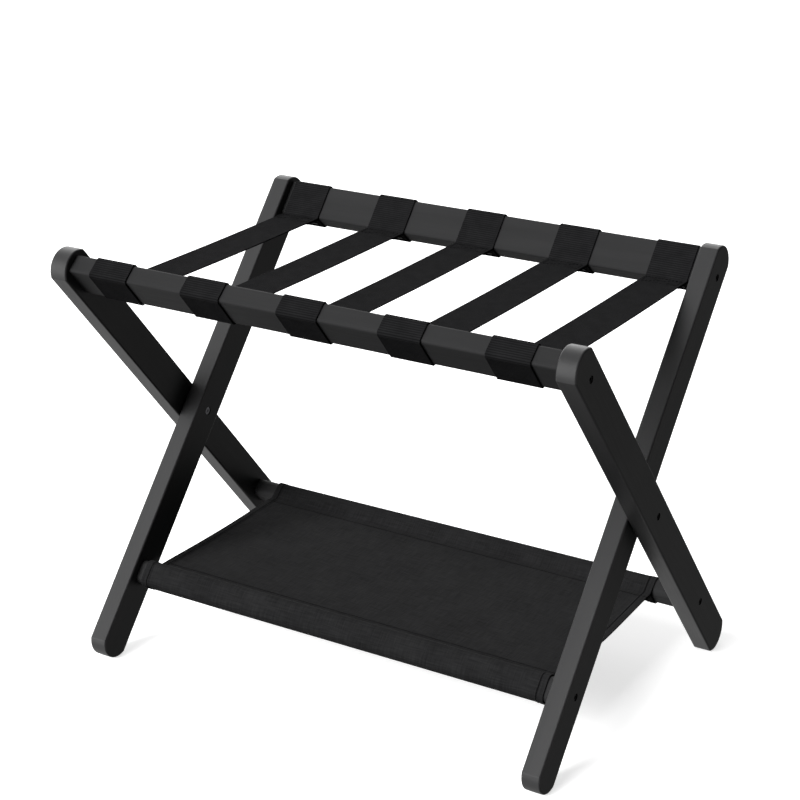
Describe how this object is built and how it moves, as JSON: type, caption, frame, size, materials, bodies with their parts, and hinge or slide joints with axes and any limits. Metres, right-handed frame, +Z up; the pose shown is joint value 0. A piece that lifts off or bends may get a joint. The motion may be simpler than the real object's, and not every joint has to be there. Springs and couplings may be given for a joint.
{
  "type": "folding luggage rack",
  "caption": "X-frame folding stand: two crossed wooden frames on a pivot, webbing straps across the top rails and a fabric shelf slung between the lower rails.",
  "frame": {"origin": "on the floor, at the middle of the open rack's footprint", "axes": "+X along the rails, +Y from front to back, +Z up"},
  "size_m": [0.64, 0.4298, 0.4951],
  "materials": {
    "painted_wood": "satin black paint over solid wood",
    "webbing": "black ribbed webbing",
    "shelf_cloth": "charcoal plain-weave cloth",
    "black_steel": "blackened steel",
    "zinc_steel": "zinc plated",
    "staple_steel": "blackened wire",
    "dowel_wood": "bare beech",
    "nylon": "black nylon"
  },
  "bodies": {
    "outer_frame": {"lower_rail_rear": "painted_wood", "lower_rail_rear_barrel_nuts": "zinc_steel", "lower_rail_rear_bolts": "black_steel", "lower_rail_rear_dowels": "dowel_wood", "outer_leg_left": "painted_wood", "outer_leg_right": "painted_wood", "pivot_bolt_left": "black_steel", "pivot_bolt_right": "black_steel", "pivot_sleeve_left": "zinc_steel", "pivot_sleeve_right": "zinc_steel", "pivot_washer_left": "nylon", "pivot_washer_right": "nylon", "shelf_fabric": "shelf_cloth", "strap_1": "webbing", "strap_2": "webbing", "strap_3": "webbing", "strap_4": "webbing", "strap_5": "webbing", "strap_staples_front": "staple_steel", "top_rail_front": "painted_wood", "top_rail_front_barrel_nuts": "zinc_steel", "top_rail_front_bolts": "black_steel", "top_rail_front_dowels": "dowel_wood"},
    "inner_frame": {"inner_leg_left": "painted_wood", "inner_leg_right": "painted_wood", "lower_rail_front": "painted_wood", "lower_rail_front_barrel_nuts": "zinc_steel", "lower_rail_front_bolts": "black_steel", "lower_rail_front_dowels": "dowel_wood", "strap_staples_rear": "staple_steel", "top_rail_rear": "painted_wood", "top_rail_rear_barrel_nuts": "zinc_steel", "top_rail_rear_bolts": "black_steel", "top_rail_rear_dowels": "dowel_wood"}
  },
  "joints": [
    {"name": "fold", "type": "hinge", "parent": "outer_frame", "child": "inner_frame", "pos_m": [0, 0, 0.24756], "axis": [1, 0, 0], "range_deg": [0, 71], "deforming": ["strap_1", "strap_2", "strap_3", "strap_4", "strap_5", "shelf_fabric"]}
  ]
}
